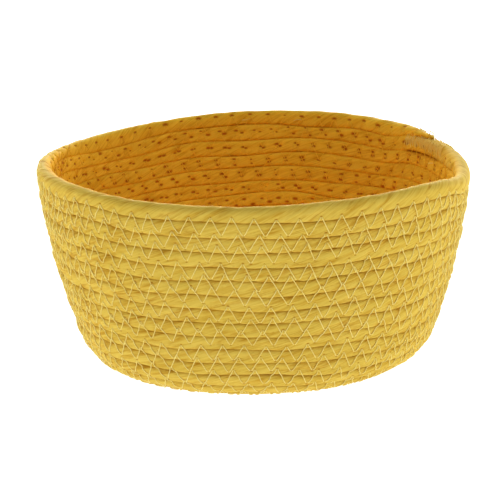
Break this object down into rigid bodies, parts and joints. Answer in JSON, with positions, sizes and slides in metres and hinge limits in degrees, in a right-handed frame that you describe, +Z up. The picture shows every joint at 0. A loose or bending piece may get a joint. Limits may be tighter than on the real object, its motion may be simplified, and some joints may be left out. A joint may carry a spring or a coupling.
{
  "type": "coiled paper rope basket",
  "caption": "Round open basket coiled from one twisted paper rope, each row sewn to the next with a zigzag stitch, to hold eggs, sweets or small gifts.",
  "frame": {"origin": "middle of the base's underside, on the table", "axes": "+Z up out of the basket's mouth; +X to the right and +Y to the back, with the rope's end at the back right, 27 degrees from +X towards +Y"},
  "size_m": [0.1987, 0.1993, 0.0953],
  "materials": {
    "paper_rope": "matt creased twisted paper, straw yellow",
    "sewing_thread": "slightly glossy twisted thread, light straw yellow"
  },
  "bodies": {
    "root": {"base_row_01": "paper_rope", "base_row_02": "paper_rope", "base_row_03": "paper_rope", "base_row_04": "paper_rope", "base_row_05": "paper_rope", "base_row_06": "paper_rope", "base_row_07": "paper_rope", "base_row_08": "paper_rope", "wall_row_01": "paper_rope", "wall_row_02": "paper_rope", "wall_row_03": "paper_rope", "wall_row_04": "paper_rope", "wall_row_05": "paper_rope", "wall_row_06": "paper_rope", "wall_row_07": "paper_rope", "wall_row_08": "paper_rope", "wall_row_09": "paper_rope", "wall_row_10": "paper_rope", "wall_row_11": "paper_rope", "wall_row_12": "paper_rope", "wall_row_13": "paper_rope", "wall_row_14": "paper_rope", "wall_row_15": "paper_rope", "rim_row": "paper_rope", "rope_tail": "paper_rope", "base_seam_01": "sewing_thread", "base_seam_02": "sewing_thread", "base_seam_03": "sewing_thread", "base_seam_04": "sewing_thread", "base_seam_05": "sewing_thread", "base_seam_06": "sewing_thread", "base_seam_07": "sewing_thread", "base_seam_08": "sewing_thread", "wall_seam_01": "sewing_thread", "wall_seam_02": "sewing_thread", "wall_seam_03": "sewing_thread", "wall_seam_04": "sewing_thread", "wall_seam_05": "sewing_thread", "wall_seam_06": "sewing_thread", "wall_seam_07": "sewing_thread", "wall_seam_08": "sewing_thread", "wall_seam_09": "sewing_thread", "wall_seam_10": "sewing_thread", "wall_seam_11": "sewing_thread", "wall_seam_12": "sewing_thread", "wall_seam_13": "sewing_thread", "wall_seam_14": "sewing_thread", "wall_seam_15": "sewing_thread", "end_tack": "sewing_thread", "loose_threads": "sewing_thread"}
  },
  "joints": []
}
